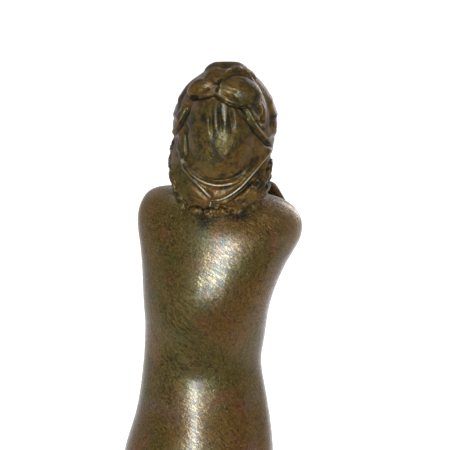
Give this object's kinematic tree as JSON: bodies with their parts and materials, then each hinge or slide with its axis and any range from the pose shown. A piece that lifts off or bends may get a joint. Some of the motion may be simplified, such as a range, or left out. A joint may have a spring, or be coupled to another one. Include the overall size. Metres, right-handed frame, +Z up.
{
  "type": "bronze statuette",
  "caption": "Cast bronze statuette of a standing nude with a knotted headscarf, arms folded up to one shoulder, on a bronze ground and a two-step marble plinth.",
  "frame": {"origin": "centre of the plinth's underside, on the surface it stands on", "axes": "+Z up through the figure; the figure faces -Y and its left side is +X"},
  "size_m": [0.088, 0.088, 0.2486],
  "materials": {
    "bronze": "brown patinated bronze, wire-brushed and waxed",
    "investment": "fired plaster and grog, left inside",
    "steel": "plain",
    "black_marble": "polished",
    "green_marble": "polished",
    "felt": "felted"
  },
  "bodies": {
    "root": {"body_casting": "bronze", "head_casting": "bronze", "left_arm_casting": "bronze", "right_arm_casting": "bronze", "ground_casting": "bronze", "trunk_core": "investment", "head_core": "investment", "core_plugs": "bronze", "neck_pin": "bronze", "left_arm_pin": "bronze", "right_arm_pin": "bronze", "left_foot_stud": "steel", "right_foot_stud": "steel", "foot_washers": "steel", "foot_nuts": "steel", "ground_stud": "steel", "stud_washer": "steel", "stud_nut": "steel", "locating_dowels": "steel", "plinth_block": "black_marble", "plinth_slab": "green_marble", "felt_pad": "felt"}
  },
  "joints": []
}
